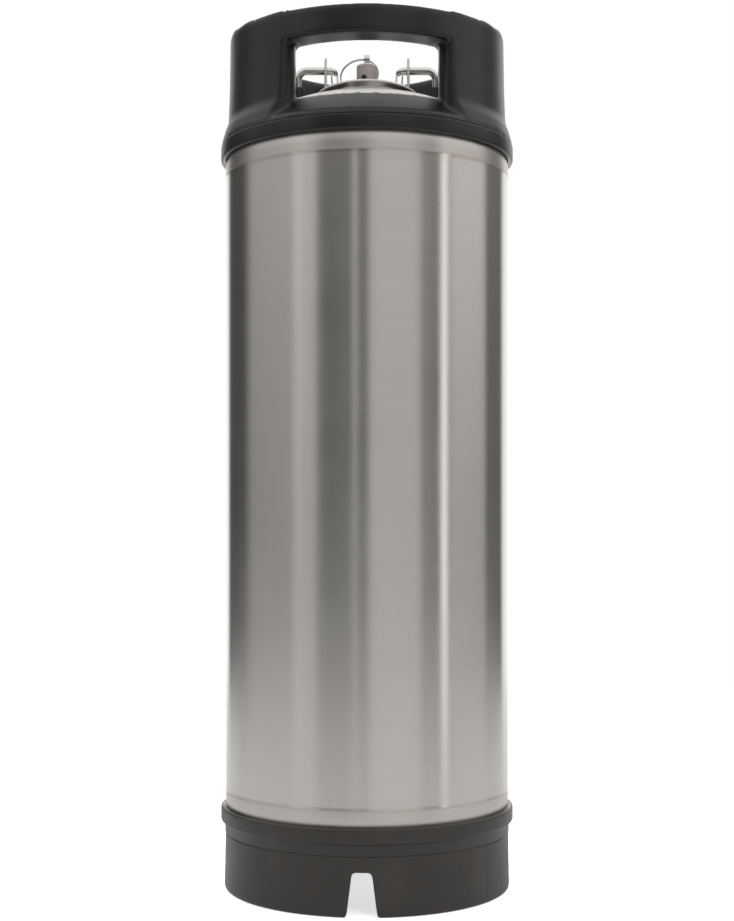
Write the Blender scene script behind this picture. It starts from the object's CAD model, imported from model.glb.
import math

import bmesh
import bpy
from mathutils import Matrix, Vector


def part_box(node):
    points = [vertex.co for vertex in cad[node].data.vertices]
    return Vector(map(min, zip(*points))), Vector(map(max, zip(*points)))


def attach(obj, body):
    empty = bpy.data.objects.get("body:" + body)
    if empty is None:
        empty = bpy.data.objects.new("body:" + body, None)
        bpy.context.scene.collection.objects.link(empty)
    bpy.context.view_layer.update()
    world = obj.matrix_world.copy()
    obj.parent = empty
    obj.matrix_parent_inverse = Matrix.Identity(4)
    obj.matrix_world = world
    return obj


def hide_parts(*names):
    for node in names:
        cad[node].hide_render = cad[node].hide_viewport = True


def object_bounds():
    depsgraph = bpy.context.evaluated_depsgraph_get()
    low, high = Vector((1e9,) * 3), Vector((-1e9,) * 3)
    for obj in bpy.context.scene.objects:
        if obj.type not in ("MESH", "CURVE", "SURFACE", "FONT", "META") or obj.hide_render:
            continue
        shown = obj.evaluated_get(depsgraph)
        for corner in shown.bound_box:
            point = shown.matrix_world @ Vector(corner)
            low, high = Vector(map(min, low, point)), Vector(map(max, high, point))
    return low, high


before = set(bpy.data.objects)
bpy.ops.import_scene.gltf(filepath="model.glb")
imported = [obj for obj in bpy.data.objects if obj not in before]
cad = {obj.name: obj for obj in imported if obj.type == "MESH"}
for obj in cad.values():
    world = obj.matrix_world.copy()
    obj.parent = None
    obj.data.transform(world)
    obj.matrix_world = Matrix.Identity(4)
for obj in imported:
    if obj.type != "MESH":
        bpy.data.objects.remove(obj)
cad_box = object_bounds()
scene = bpy.context.scene

# ---------------------------------------------------------------- camera
# A level view of the front, a little over a metre away, just below the middle
# of the keg, so the handle is seen from below and the boot from above.
CAMERA_PLACE = (0, -1.1922, 0.2711)
camera_data = bpy.data.cameras.new("front_camera")
camera_data.lens = 60.63
camera_data.shift_y = 0.0766
camera = bpy.data.objects.new("front_camera", camera_data)
camera.location = CAMERA_PLACE
camera.rotation_euler = (math.radians(90), 0, 0)
scene.collection.objects.link(camera)
scene.camera = camera
scene.view_settings.view_transform = "Standard"


# ---------------------------------------------------------------- studio
# A pale round table under the keg, in a white room. Tall soft panels and dark
# screens stand round it, and they give the steel its upright light and dark bands.
class Value:
    """A socket of a node tree, on which Python's operators add Math nodes."""

    def __init__(self, shop, socket):
        self.shop = shop
        self.socket = socket

    def math(self, operation, *others):
        return self.shop.node("Math", {"operation": operation}, {0: self, **dict(enumerate(others, 1))})

    def __add__(self, other):
        return self.math("ADD", other)

    def __sub__(self, other):
        return self.math("SUBTRACT", other)

    def __mul__(self, other):
        return self.math("MULTIPLY", other)

    def __rsub__(self, other):
        return self.shop.node("Math", {"operation": "SUBTRACT"}, {0: other, 1: self})

    __radd__ = __add__
    __rmul__ = __mul__

    def between(self, low, high):
        """0 below low, 1 above high, and smooth in the range between."""
        return self.shop.node("MapRange", {"interpolation_type": "SMOOTHSTEP"},
                              {0: self, 1: low, 2: high})


class Shop:
    """One node tree, in which a finish is put together."""

    def __init__(self, tree):
        self.tree = tree

    def node(self, kind, settings=None, values=None, out=0):
        made = self.tree.nodes.new("ShaderNode" + kind)
        for key, setting in (settings or {}).items():
            setattr(made, key, setting)
        for key, given in (values or {}).items():
            if isinstance(given, Value):
                self.tree.links.new(given.socket, made.inputs[key])
            else:
                made.inputs[key].default_value = given
        return Value(self, made.outputs[out]) if made.outputs else None

    def place(self, scale=(1, 1, 1), centre=(0, 0, 0)):
        """Object coordinates about a centre, in metres times scale."""
        raw = self.node("TexCoord", out="Object")
        moved = self.node("VectorMath", {"operation": "SUBTRACT"}, {0: raw, 1: centre})
        return self.node("VectorMath", {"operation": "MULTIPLY"}, {0: moved, 1: scale})

    def axis(self, vector, name):
        return self.node("SeparateXYZ", values={0: vector}, out=name)

    def noise(self, vector, scale, detail, roughness):
        return self.node("TexNoise", values={
            "Vector": vector, "Scale": scale, "Detail": detail, "Roughness": roughness})

    def mix(self, factor, first, second):
        return self.node("Mix", {"data_type": "RGBA"}, {0: factor, 6: first, 7: second}, out=2)


STEEL_TONE = (0.62, 0.598, 0.575, 1)
room = bpy.data.worlds.new("white_room")
room.use_nodes = True
room.node_tree.nodes.clear()
air = Shop(room.node_tree)
look = air.node("TexCoord", out="Generated")
look_x, look_y, look_z = (air.axis(look, name) for name in "XYZ")
turn = look_x.math("ARCTAN2", look_y * -1) * (180 / math.pi)
# Each panel: its middle in degrees round from the camera side, half its width,
# how soft its edges are, how bright it is, and how much brighter it gets upwards.
PANELS = (
    (-170, 20, 8, 1.10, 0), (-84, 27, 16, 0.30, 2.4), (-50, 10, 8, 0.44, 1.6),
    (-9.5, 1.1, 1.5, 0.55, 3.6), (22.5, 21, 3, 0.51, 0.5), (50, 5, 5, 0.19, 0.5),
    (64, 2.6, 3, 1.7, 0), (90, 20, 6, 0.42, 3.4), (122, 12, 12, 0.13, 2), (165, 24, 8, 1.10, 0))
DARK_WALL = 0.075
glow = DARK_WALL
for middle, half, soft, bright, rise in PANELS:
    away = ((turn - (middle - 180)).math("FLOORED_MODULO", 360) - 180).math("ABSOLUTE")
    shine = (look_z * rise + 1).math("MAXIMUM", 0.4) * bright - DARK_WALL
    glow = glow + (1 - away.between(half - soft / 2, half + soft / 2)) * shine
overhead = look_z.between(0.30, 0.62)
CEILING = 1.1
glow = glow * (1 - overhead) + overhead * CEILING
warm = air.node("CombineColor", values={0: glow * 1.01, 1: glow, 2: glow * 0.985})
seen = air.node("LightPath", out="Is Camera Ray")
sky = air.node("Background", values={
    "Color": air.mix(seen, warm, (1, 1, 1, 1)), "Strength": 1.0})
air.node("OutputWorld", values={0: sky})
scene.world = room

table_bm = bmesh.new()
TABLE_R = 1.5
bmesh.ops.create_circle(table_bm, cap_ends=True, segments=96, radius=TABLE_R)
table_mesh = bpy.data.meshes.new("table")
table_bm.to_mesh(table_mesh)
table_bm.free()
table = bpy.data.objects.new("table", table_mesh)
scene.collection.objects.link(table)
table_finish = bpy.data.materials.new("white_table")
table_finish.use_nodes = True
table_finish.node_tree.nodes.clear()
top = Shop(table_finish.node_tree)
mirrored = top.node("LightPath", out="Is Glossy Ray")
pale = top.mix(mirrored, (0.85, 0.85, 0.85, 1), (0.3, 0.3, 0.3, 1))
board = top.node("BsdfPrincipled", values={
    "Base Color": pale, "Roughness": 0.7,
    "Emission Color": (1, 1, 1, 1), "Emission Strength": (1 - mirrored * 0.5) * 0.62})
top.node("OutputMaterial", values={0: board})
table_mesh.materials.append(table_finish)

for name, place, aim, size, watts in (
        ("key_panel", (0.9, -1.6, 1.5), (0, 0, 0.45), 0.8, 14),
        ("fill_panel", (-1.5, -1.1, 1.1), (0, 0, 0.4), 0.9, 9),
        ("rim_panel_left", (-1.3, 1.0, 0.9), (0, 0, 0.5), 0.8, 10),
        ("rim_panel_right", (1.3, 1.0, 0.9), (0, 0, 0.5), 0.8, 10)):
    lamp_data = bpy.data.lights.new(name, "AREA")
    lamp_data.size = size
    lamp_data.energy = watts
    lamp = bpy.data.objects.new(name, lamp_data)
    lamp.location = place
    lamp.rotation_euler = (Vector(aim) - Vector(place)).to_track_quat("-Z", "Y").to_euler()
    lamp.visible_glossy = False
    scene.collection.objects.link(lamp)

# ---------------------------------------------------------------- barrel
# The barrel is one sheet of stainless steel, rolled, welded down its length
# and brushed round its girth. The two domed heads are welded to its ends.
MM = 0.001


def finish_mesh(bm, name, sharp):
    """Makes the bmesh an object, smooth except at edges sharper than an angle."""
    limit = math.radians(sharp)
    for face in bm.faces:
        face.smooth = True
    for edge in bm.edges:
        edge.smooth = len(edge.link_faces) != 2 or edge.calc_face_angle(0) < limit
    mesh = bpy.data.meshes.new(name)
    bm.to_mesh(mesh)
    bm.free()
    piece = bpy.data.objects.new(name, mesh)
    scene.collection.objects.link(piece)
    return piece


def lathe(name, outline, segments, sharp):
    """Turns a closed outline of (radius, height) points in millimetres round the Z axis."""
    bm = bmesh.new()
    points = [bm.verts.new((r * MM, 0, z * MM)) for r, z in outline]
    rim = [bm.edges.new(pair) for pair in zip(points, points[1:] + points[:1])]
    bmesh.ops.spin(bm, geom=points + rim, axis=(0, 0, 1), cent=(0, 0, 0),
                   angle=math.tau, steps=segments, use_merge=True)
    bmesh.ops.remove_doubles(bm, verts=bm.verts, dist=1e-6)
    bmesh.ops.recalc_face_normals(bm, faces=bm.faces)
    return finish_mesh(bm, name, sharp)


def paint(piece, finish):
    piece.data.materials.clear()
    piece.data.materials.append(finish)


def hand_in(piece, finish, body, node):
    """Paints a piece, sets it on a body, and puts it in place of a part's solid."""
    paint(piece, finish)
    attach(piece, body)
    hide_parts(node)


def new_finish(name):
    finish = bpy.data.materials.new(name)
    finish.use_nodes = True
    finish.node_tree.nodes.clear()
    return finish, Shop(finish.node_tree)


def close_finish(shop, values, height, depth, strength):
    """Adds the shader, with a bump from a height that is depth metres deep."""
    bump = shop.node("Bump", values={"Height": height, "Distance": depth, "Strength": strength})
    shader = shop.node("BsdfPrincipled", values={**values, "Normal": bump})
    shop.node("OutputMaterial", values={0: shader})


def brushed_steel(name, tone, roughness, pull, welds=()):
    """Steel brushed round Z, with fine lines, cloudy polish and darker lines at welds."""
    finish, shop = new_finish(name)
    lines = shop.noise(shop.place((14, 14, 5200)), 1, 3, 0.6)
    long_lines = shop.noise(shop.place((5, 5, 900)), 1, 2, 0.5)
    clouds = shop.noise(shop.place(), 16, 3, 0.55)
    streaks = shop.noise(shop.place((120, 120, 3)), 1, 2, 0.5)
    height = shop.axis(shop.place(), "Z")
    shade = 0.93 + lines * 0.06 + long_lines * 0.05 + clouds * 0.04
    rough = roughness - 0.05 + lines * 0.05 + clouds * 0.05 + streaks * 0.03
    colour = shop.node("VectorMath", {"operation": "SCALE"}, {0: tone[:3], "Scale": shade})
    for weld in welds:
        near = 1 - (height - weld * MM).math("ABSOLUTE").between(0.0002, 0.0011)
        band = 1 - (height - weld * MM).math("ABSOLUTE").between(0.002, 0.012)
        colour = shop.mix(near * 0.25, colour, (0.30, 0.265, 0.235, 1))
        colour = shop.mix(band * 0.22, colour, (0.60, 0.52, 0.44, 1))
        rough = rough + near * 0.1
    close_finish(shop, {
        "Base Color": colour, "Metallic": 1, "Roughness": rough, "Anisotropic": pull,
        "Anisotropic Rotation": 0.25}, lines * 0.7 + long_lines * 0.3, 0.00006, 0.35)
    return finish


low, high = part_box("shell_barrel")
BARREL_R = high.x / MM
WELDS = (low.z / MM, high.z / MM)
SHEET = 1.0
BEAD = 0.12
barrel = lathe("barrel", [
    (BARREL_R - SHEET, WELDS[0]), (BARREL_R + BEAD, WELDS[0]), (BARREL_R + BEAD, WELDS[0] + 0.6),
    (BARREL_R, WELDS[0] + 1.3), (BARREL_R, WELDS[0] + 3), (BARREL_R, WELDS[1] - 3),
    (BARREL_R, WELDS[1] - 1.3), (BARREL_R + BEAD, WELDS[1] - 0.6), (BARREL_R + BEAD, WELDS[1]),
    (BARREL_R - SHEET, WELDS[1])], 256, 50)
shell_finish = brushed_steel("brushed_shell_steel", STEEL_TONE, 0.21, 0.88, WELDS)
hand_in(barrel, shell_finish, "keg", "shell_barrel")

# ---------------------------------------------------------------- heads
# Both heads are deep-drawn steel domes with a short straight edge at the weld. The
# top one has an oval mouth with a rolled rim, the bottom one a small sump.
NECK_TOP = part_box("top_head")[1].z / MM
HEAD_RISE = 54
DOME_Z = NECK_TOP - HEAD_RISE
BOWL_Z = WELDS[0] - 5.2
MOUTH_X, MOUTH_Y, RIM_W = 36, 50, 4
head_finish = brushed_steel("satin_head_steel", (0.60, 0.575, 0.55, 1), 0.33, 0.5, WELDS)


def dome_arc(radius, rise, first, last, steps):
    """Points (radius, height) on a quarter of an ellipse, by angle from its edge."""
    angles = [math.radians(first + (last - first) * i / steps) for i in range(steps + 1)]
    return [(radius * math.cos(a), rise * math.sin(a)) for a in angles]


def oval_rings(name, rings, sharp, count=128):
    """Stacks oval rings of (half width, half length, height), each pulled out of the last,
    and joins the last to the first. A height may be a function of the radius."""
    bm = bmesh.new()
    first = bmesh.ops.create_circle(bm, segments=count, radius=1)["verts"]
    angles = [math.tau * i / count for i in range(count)]
    ordered = sorted(first, key=lambda v: math.atan2(v.co.y, v.co.x) % math.tau)
    loops = [ordered]
    edges = list(bm.edges)
    for _ in rings[1:]:
        made = bmesh.ops.extrude_edge_only(bm, edges=edges)["geom"]
        edges = [item for item in made if isinstance(item, bmesh.types.BMEdge)
                 and len(item.link_faces) == 1]
        new_verts = [item for item in made if isinstance(item, bmesh.types.BMVert)]
        loops.append(sorted(new_verts, key=lambda v: math.atan2(v.co.y, v.co.x) % math.tau))
    for loop, (half_x, half_y, height) in zip(loops, rings):
        for vert, angle in zip(loop, angles):
            x = half_x * math.cos(angle)
            y = half_y * math.sin(angle)
            z = height(math.hypot(x, y)) if callable(height) else height
            vert.co = (x * MM, y * MM, z * MM)
    ends = [e for e in bm.edges if len(e.link_faces) == 1]
    bmesh.ops.bridge_loops(bm, edges=ends)
    bmesh.ops.recalc_face_normals(bm, faces=bm.faces)
    return finish_mesh(bm, name, sharp)


def dome_height(offset):
    """Height in millimetres of the outside of the top dome, less an offset, at a radius."""
    return lambda r: DOME_Z + (HEAD_RISE - offset) * math.sqrt(
        max(0.0, 1 - (r / (BARREL_R - offset)) ** 2))


def head_blend(t, offset):
    """One ring of the dome, t from 0 at the weld to 1 at the foot of the neck."""
    edge = BARREL_R - offset
    ease = t * t * (3 - 2 * t)
    neck_x = MOUTH_X + RIM_W + 1.5
    neck_y = MOUTH_Y + RIM_W + 1.5
    mid = edge + (0.5 * (neck_x + neck_y) - edge) * math.sin(t * math.pi / 2)
    return (mid + (neck_x - 0.5 * (neck_x + neck_y)) * ease,
            mid + (neck_y - 0.5 * (neck_x + neck_y)) * ease, dome_height(offset))


dome_steps = 22
outside = [(BARREL_R, BARREL_R, WELDS[1]), (BARREL_R, BARREL_R, WELDS[1] + 5)]
outside += [head_blend(i / dome_steps, 0) for i in range(dome_steps + 1)]
rim_turns = 10
rim_r = RIM_W / 2
rim_h = 2.6
rim_z = NECK_TOP - rim_h
neck = []
for out, drop in ((0.6, 7.6), (-0.3, 6.6), (-0.7, 5.6)):
    neck.append((MOUTH_X + RIM_W + out, MOUTH_Y + RIM_W + out,
                 lambda r, drop=drop: max(NECK_TOP - drop, dome_height(-0.4)(r))))
roll = []
for i in range(rim_turns + 1):
    a = math.radians(-50 + (215 + 50) * i / rim_turns)
    out = rim_r * (1 + math.cos(a))
    roll.append((MOUTH_X + out, MOUTH_Y + out, rim_z + rim_h * math.sin(a)))
inner = [(MOUTH_X, MOUTH_Y, NECK_TOP - 5), (MOUTH_X, MOUTH_Y, NECK_TOP - 10.6),
         (MOUTH_X + 2, MOUTH_Y + 2, NECK_TOP - 10.8)]
inside = [head_blend(i / dome_steps, SHEET) for i in reversed(range(dome_steps + 1))]
inside += [(BARREL_R - SHEET, BARREL_R - SHEET, WELDS[1])]
top_head = oval_rings("domed_top_head", outside + neck + roll + inner + inside, 40)
hand_in(top_head, head_finish, "keg", "top_head")

SUMP_R = 12
sump_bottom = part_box("bottom_head")[0].z / MM
sump_angle = math.degrees(math.acos(SUMP_R / BARREL_R))
bowl = [(BARREL_R, WELDS[0]), (BARREL_R, BOWL_Z + 1)]
bowl += [(r, BOWL_Z - z) for r, z in dome_arc(BARREL_R, HEAD_RISE, 0, sump_angle, 24)]
bowl += [(SUMP_R - 0.6, sump_bottom + 0.8), (SUMP_R - 1.8, sump_bottom), (0.01, sump_bottom),
         (0.01, sump_bottom + SHEET), (SUMP_R - 2.6, sump_bottom + SHEET),
         (SUMP_R - 1.6, sump_bottom + SHEET + 1.4)]
bowl += [(r, BOWL_Z - z) for r, z in
         dome_arc(BARREL_R - SHEET, HEAD_RISE - SHEET, sump_angle, 0, 24)]
bowl += [(BARREL_R - SHEET, WELDS[0])]
bottom_head = lathe("domed_bottom_head", bowl, 192, 50)
hand_in(bottom_head, head_finish, "keg", "bottom_head")

# ---------------------------------------------------------------- rubber ends
# The handle ring and the base boot are moulded black rubber, glued over the two
# heads. Their edges are rounded by the mould, and the skin is satin with fine pores.
CALM_PASSES = 12


def smooth(bm, verts, passes):
    for _ in range(passes):
        bmesh.ops.smooth_vert(bm, verts=verts, factor=0.5, use_axis_x=True, use_axis_y=True,
                              use_axis_z=True)


def soften(node, name, cell, passes, cut=None, calm_above=None):
    """A copy of a part's solid with its edges rounded, as moulding or machining leaves them.
    A cut is a height in millimetres and +1 or -1 for the side that is taken off.
    Above the height calm_above the edges get CALM_PASSES more, for a fuller round."""
    bm = bmesh.new()
    bm.from_mesh(cad[node].data)
    bmesh.ops.remove_doubles(bm, verts=bm.verts, dist=2e-6)
    mesh = bpy.data.meshes.new(name)
    bm.to_mesh(mesh)
    bm.free()
    piece = bpy.data.objects.new(name, mesh)
    scene.collection.objects.link(piece)
    remesh = piece.modifiers.new("cells", "REMESH")
    remesh.mode = "VOXEL"
    remesh.voxel_size = cell * MM
    remesh.adaptivity = 0
    solid = bpy.data.meshes.new_from_object(piece.evaluated_get(bpy.context.evaluated_depsgraph_get()))
    piece.modifiers.clear()
    bm = bmesh.new()
    bm.from_mesh(solid)
    smooth(bm, bm.verts, passes)
    if calm_above:
        smooth(bm, [vert for vert in bm.verts if vert.co.z > calm_above * MM], CALM_PASSES)
    if cut:
        everything = bm.verts[:] + bm.edges[:] + bm.faces[:]
        bmesh.ops.bisect_plane(bm, geom=everything, plane_co=(0, 0, cut[0] * MM),
                               plane_no=(0, 0, cut[1]), clear_outer=True)
        ends = [edge for edge in bm.edges if len(edge.link_faces) == 1]
        bmesh.ops.bridge_loops(bm, edges=ends)
    for face in bm.faces:
        face.smooth = True
    bm.to_mesh(mesh)
    bm.free()
    return piece


def quarter(r, z, size, first, last):
    """Points (radius, height) round a corner of an outline, between two angles in degrees."""
    steps = 6
    angles = [math.radians(first + (last - first) * i / steps) for i in range(steps + 1)]
    return [(r + size * math.cos(a), z + size * math.sin(a)) for a in angles]


def rubber(name, tone, roughness, pore=900):
    """Moulded black rubber: fine pores, and a thin uneven film of dust."""
    finish, shop = new_finish(name)
    pores = shop.noise(shop.place(), pore, 3, 0.6)
    clouds = shop.noise(shop.place(), 14, 4, 0.6)
    scuffs = shop.noise(shop.place((40, 40, 9)), 1, 5, 0.65)
    dust = (clouds * scuffs).between(0.24, 0.42)
    colour = shop.mix(dust * 0.35, tone, tuple(min(1, part * 2.4) for part in tone[:3]) + (1,))
    close_finish(shop, {
        "Base Color": colour, "Roughness": roughness - 0.06 + clouds * 0.1 + dust * 0.08,
        "Specular IOR Level": 0.42}, pores, 0.00005, 0.3)
    return finish


handle_finish = rubber("handle_rubber", (0.0060, 0.0056, 0.0052, 1), 0.33)
boot_finish = rubber("boot_rubber", (0.0190, 0.0162, 0.0140, 1), 0.36)
LIP_R = cad_box[1][0] / MM
CREASE_Z = DOME_Z + 14
handle = soften("top_handle", "handle_ring", 1.3, 5, (CREASE_Z, -1), DOME_Z + 81)
# The lip round the weld ends at a crisp crease, below the collar of the ring.
handle_lip = lathe("handle_lip", [
    *quarter(LIP_R - 1.9, DOME_Z + 4.4, 1.9, -90, 0),
    *quarter(LIP_R - 1.5, CREASE_Z - 1.7, 1.5, 0, 80),
    (LIP_R - 2.2, CREASE_Z - 0.4), (LIP_R - 3.2, CREASE_Z - 0.1), (LIP_R - 9, CREASE_Z),
    *[(r + 0.15, DOME_Z + z) for r, z in dome_arc(BARREL_R, HEAD_RISE, 14, 3, 6)]], 240, 60)
# The boot's lip is wider than its wall, with a step and a fine groove under it.
GROOVE_Z = BOWL_Z - 26.5
boot = soften("base_boot", "boot_ring", 1.3, 4, (GROOVE_Z, 1))
boot_lip = lathe("boot_lip", [
    (LIP_R - 9, GROOVE_Z), (LIP_R - 3.7, GROOVE_Z), (LIP_R - 3.1, GROOVE_Z + 0.5),
    (LIP_R - 3.0, BOWL_Z - 20), (LIP_R - 2.0, BOWL_Z - 18.2),
    *quarter(LIP_R - 1.9, BOWL_Z - 16, 1.9, -50, 0), *quarter(LIP_R - 1.7, BOWL_Z - 8, 1.7, 0, 90),
    *[(r + 0.15, BOWL_Z - z) for r, z in dome_arc(BARREL_R, HEAD_RISE, 6.8, 26, 8)]], 240, 60)
for piece, node, finish in (
        (handle, "top_handle", handle_finish), (handle_lip, "top_handle", handle_finish),
        (boot, "base_boot", boot_finish), (boot_lip, "base_boot", boot_finish)):
    hand_in(piece, finish, "keg", node)

# ---------------------------------------------------------------- lid
# The oval lid is pressed steel: a flange that closes from inside against the seal,
# and a raised dish with rounded edges on which the ears and relief valve sit.
lid_low, lid_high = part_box("lid_plate")
LID_TOP = lid_high.z / MM
FLANGE_Z = lid_low.z / MM
DISH_X, DISH_Y = 33.5, 47.5
LID_T = 2.5
lid_rings = [(0.5, 0.5, LID_TOP - 0.4), (DISH_X - 14, DISH_Y - 14, LID_TOP - 0.4),
             (DISH_X - 12.5, DISH_Y - 12.5, LID_TOP)]
for i in range(9):
    a = math.radians(90 - 90 * i / 8)
    lid_rings.append((DISH_X - 3 + 3 * math.cos(a), DISH_Y - 3 + 3 * math.cos(a),
                      LID_TOP - 3 + 3 * math.sin(a)))
lid_rings += [(DISH_X, DISH_Y, FLANGE_Z + 3.2), (DISH_X + 1, DISH_Y + 1, FLANGE_Z + 2.2),
              (DISH_X + 9.2, DISH_Y + 9.2, FLANGE_Z + 2), (DISH_X + 10, DISH_Y + 10, FLANGE_Z + 1.2),
              (DISH_X + 9.6, DISH_Y + 9.6, FLANGE_Z + 0.2), (DISH_X - 1, DISH_Y - 1, FLANGE_Z),
              (DISH_X - 2.5, DISH_Y - 2.5, FLANGE_Z + 1.5),
              (DISH_X - 2.5, DISH_Y - 2.5, LID_TOP - LID_T - 1.5),
              (DISH_X - 4, DISH_Y - 4, LID_TOP - LID_T), (0.5, 0.5, LID_TOP - LID_T)]
lid = oval_rings("lid_dish", lid_rings, 45, 96)


def turned_steel(name, tone, roughness, centre=(0, 0, 0), pitch=2500, depth=0.00004):
    """Machined or pressed steel with fine lines round an upright axis through centre."""
    finish, shop = new_finish(name)
    place = shop.place((1, 1, 1), centre)
    ring = shop.node("VectorMath", {"operation": "LENGTH"}, {
        0: shop.node("VectorMath", {"operation": "MULTIPLY"}, {0: place, 1: (1, 1, 0)})}, out="Value")
    up = shop.axis(place, "Z")
    lines = shop.noise(shop.node("CombineXYZ", values={0: ring * pitch, 1: up * pitch}), 1, 2, 0.5)
    clouds = shop.noise(place, 60, 3, 0.6)
    shade = 0.9 + clouds * 0.12 + lines * 0.05
    colour = shop.node("VectorMath", {"operation": "SCALE"}, {0: tone[:3], "Scale": shade})
    close_finish(shop, {
        "Base Color": colour, "Metallic": 1,
        "Roughness": roughness - 0.05 + clouds * 0.08 + lines * 0.04},
        lines, depth, 0.12)
    return finish


lid_finish = turned_steel("pressed_lid_steel", (0.66, 0.64, 0.615, 1), 0.24)
hand_in(lid, lid_finish, "lid", "lid_plate")

seal_finish = rubber("seal_rubber", (0.012, 0.012, 0.012, 1), 0.45, 1600)
paint(cad["lid_oring"], seal_finish)

# ---------------------------------------------------------------- ears and bail
# Two upright plates welded to the lid carry the bail, a bent steel wire whose legs
# push down on the dome through rubber feet and so pull the lid up against its seal.
def wire_steel(name, tone, roughness):
    """Drawn or pressed bare steel: a little cloudiness and a fine grit."""
    finish, shop = new_finish(name)
    clouds = shop.noise(shop.place(), 140, 3, 0.6)
    grit = shop.noise(shop.place(), 1300, 2, 0.5)
    shade = 0.88 + clouds * 0.16 + grit * 0.06
    colour = shop.node("VectorMath", {"operation": "SCALE"}, {0: tone[:3], "Scale": shade})
    close_finish(shop, {"Base Color": colour, "Metallic": 1,
                        "Roughness": roughness - 0.05 + clouds * 0.1 + grit * 0.04},
                 grit, 0.00002, 0.15)
    return finish


ear_finish = wire_steel("ear_plate_steel", (0.42, 0.405, 0.39, 1), 0.34)
for node in ("left_ear", "right_ear"):
    ear = soften(node, node + "_plate", 0.3, 3)
    hand_in(ear, ear_finish, "lid", node)

PIVOT_Z = NECK_TOP + 20.9
WIRE_R = 3.0
LEG_X, ARM_X, REACH = 53.2, 25.2, 57.0


def bend_points(centre, start, end, radius, plane):
    """Points round a quarter bend, in the plane of two axes, given by number."""
    steps = 7
    points = []
    for i in range(steps + 1):
        a = math.radians(start + (end - start) * i / steps)
        point = Vector(centre)
        point[plane[0]] += radius * math.cos(a)
        point[plane[1]] += radius * math.sin(a)
        points.append(point)
    return points


half = [Vector((LEG_X, 0, NECK_TOP - 0.5))]
half += bend_points((LEG_X - 7, 0, PIVOT_Z - 7), 0, 90, 7, (0, 2))
half += bend_points((ARM_X + 5, 5, PIVOT_Z), 270, 180, 5, (0, 1))
half += bend_points((ARM_X - 7, REACH - 7, PIVOT_Z), 0, 90, 7, (0, 1))
route = half + [Vector((-p.x, p.y, p.z)) for p in reversed(half)]


def wire_piece(name, points, radius, sides):
    """Round wire along points in millimetres, with its two ends capped."""
    line = bpy.data.curves.new(name, "CURVE")
    line.dimensions = "3D"
    line.bevel_depth = radius * MM
    line.bevel_resolution = sides
    line.use_fill_caps = True
    spline = line.splines.new("POLY")
    spline.points.add(len(points) - 1)
    for slot, point in zip(spline.points, points):
        slot.co = (*(Vector(point) * MM), 1)
    guide = bpy.data.objects.new(name, line)
    mesh = bpy.data.meshes.new_from_object(guide)
    bpy.data.objects.remove(guide)
    bm = bmesh.new()
    bm.from_mesh(mesh)
    bmesh.ops.remove_doubles(bm, verts=bm.verts, dist=1e-6)
    bmesh.ops.recalc_face_normals(bm, faces=bm.faces)
    return finish_mesh(bm, name, 50)


bail_finish = wire_steel("bail_wire_steel", (0.63, 0.61, 0.59, 1), 0.24)
bail = wire_piece("bail_wire", route, WIRE_R, 6)
hand_in(bail, bail_finish, "bail", "bail")

foot_finish = rubber("foot_rubber", (0.018, 0.018, 0.018, 1), 0.42, 1500)
for node in ("left_foot", "right_foot"):
    foot = soften(node, node + "_cap", 0.3, 3)
    hand_in(foot, foot_finish, "bail", node)

# ---------------------------------------------------------------- relief valve
# A turned and knurled steel body screws through the lid with a gasket and a nut.
# Pulling the split ring lifts the stem and its seal against a spring.


def knurled_steel(name, tone, low_z, high_z):
    """Turned steel, with a fine crossed knurl between two heights."""
    finish, shop = new_finish(name)
    place = shop.place()
    round_it = shop.axis(place, "X").math("ARCTAN2", shop.axis(place, "Y")) * 22
    up = shop.axis(place, "Z") * 2800
    ridges = (round_it + up).math("SINE") * 0.5 + (round_it - up).math("SINE") * 0.5
    height = shop.axis(place, "Z")
    zone = height.between(low_z * MM, (low_z + 0.4) * MM)
    zone = zone * (1 - height.between((high_z - 0.4) * MM, high_z * MM))
    clouds = shop.noise(place, 200, 3, 0.6)
    shade = 0.84 + clouds * 0.18 + ridges * zone * 0.16
    colour = shop.node("VectorMath", {"operation": "SCALE"}, {0: tone[:3], "Scale": shade})
    close_finish(shop, {"Base Color": colour, "Metallic": 1,
                        "Roughness": 0.27 + clouds * 0.08 + zone * 0.1},
                 ridges * zone + clouds * 0.1, 0.0002, 0.7)
    return finish


valve_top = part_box("relief_body")[1].z / MM
valve_finish = knurled_steel("knurled_valve_steel", (0.52, 0.49, 0.475, 1),
                             valve_top - 20, valve_top - 2.2)
valve = soften("relief_body", "valve_body", 0.25, 2)
hand_in(valve, valve_finish, "lid", "relief_body")

stem_finish = turned_steel("turned_stem_steel", (0.60, 0.58, 0.56, 1), 0.26)
stem = soften("relief_stem", "valve_stem", 0.14, 3)
hand_in(stem, stem_finish, "relief_stem", "relief_stem")

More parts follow.
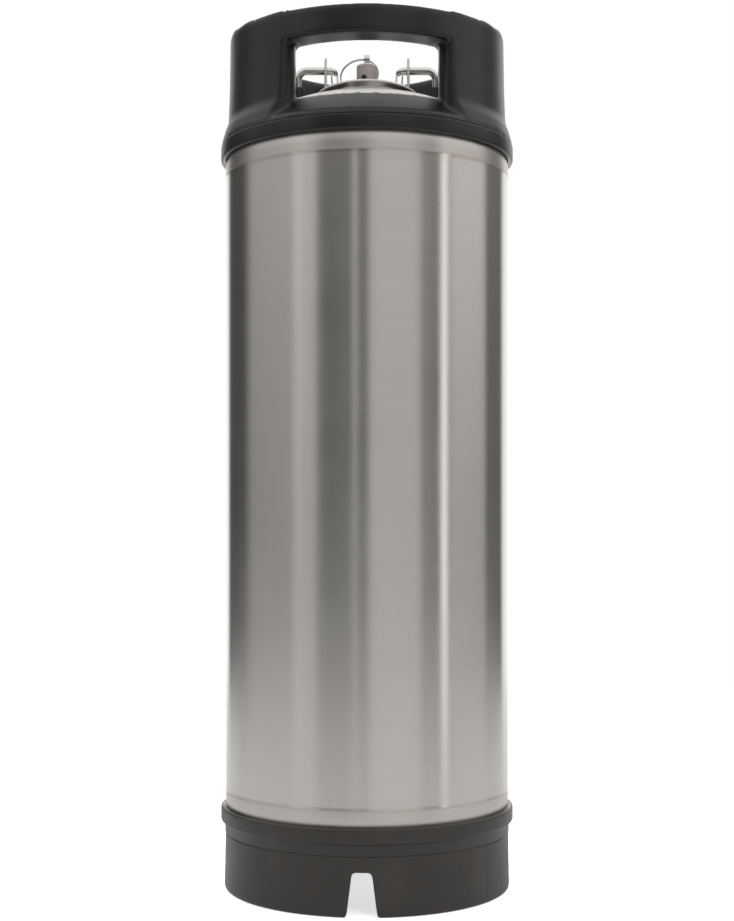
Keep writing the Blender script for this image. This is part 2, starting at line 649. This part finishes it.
# The ring hangs from the stem's eye, leant and swung by these angles in degrees.
EYE_Z = 632.9
RING_R = 14.8
RING_LEAN, RING_SWING, RING_TURN = 54, 8, 19
COIL_R = 0.48
ring_pose = (Matrix.Translation((0, 0, EYE_Z)) @ Matrix.Rotation(math.radians(RING_TURN), 4, "Z")
             @ Matrix.Rotation(math.radians(RING_LEAN), 4, "X"))
ring_middle = Vector((-RING_R * math.sin(math.radians(RING_SWING)), 0,
                      -RING_R * math.cos(math.radians(RING_SWING))))
coil = []
coil_steps = 72
COIL_TURNS = 1.92
for i in range(int(coil_steps * COIL_TURNS) + 1):
    a = math.tau * i / coil_steps + 0.9
    side = -COIL_R + 2 * COIL_R * min(1, max(0, (i / coil_steps - 0.86) / 0.2))
    coil.append(ring_pose @ (ring_middle + Vector((RING_R * math.cos(a), side, RING_R * math.sin(a)))))
split_ring = wire_piece("split_ring", coil, COIL_R * 0.97, 4)
ring_finish = wire_steel("split_ring_steel", (0.50, 0.48, 0.46, 1), 0.28)
hand_in(split_ring, ring_finish, "relief_ring", "relief_ring")

paint(cad["relief_gasket"], seal_finish)
paint(cad["relief_seal"], seal_finish)
paint(cad["relief_nut"], stem_finish)
spring_finish = wire_steel("spring_wire_steel", (0.58, 0.57, 0.56, 1), 0.3)
paint(cad["relief_spring"], spring_finish)

# ---------------------------------------------------------------- posts and tubes
# A post screws onto each spud and holds the flared head of its dip tube. Inside, a
# spring pushes a brass poppet up against the mouth of the post.
POST_X = 0.072
brass_finish = turned_steel("poppet_brass", (0.72, 0.53, 0.25, 1), 0.28)
tube_finish = brushed_steel("drawn_tube_steel", (0.60, 0.585, 0.57, 1), 0.3, 0.3)
for side, at in (("gas", -POST_X), ("liquid", POST_X)):
    machined = turned_steel(side + "_post_steel", (0.64, 0.62, 0.60, 1), 0.22, (at, 0, 0), 1800)
    post = soften(side + "_post", side + "_post_turned", 0.32, 2)
    hand_in(post, machined, "keg", side + "_post")
    spud = soften(side + "_spud", side + "_spud_welded", 0.32, 2)
    hand_in(spud, machined, "keg", side + "_spud")
    poppet = soften(side + "_poppet", side + "_poppet_turned", 0.2, 2)
    hand_in(poppet, brass_finish, side + "_poppet", side + "_poppet")
    for node in ("_post_oring", "_poppet_seal", "_tube_oring"):
        paint(cad[side + node], seal_finish)
    paint(cad[side + "_poppet_spring"], spring_finish)
    paint(cad[side + "_dip_tube"], tube_finish)
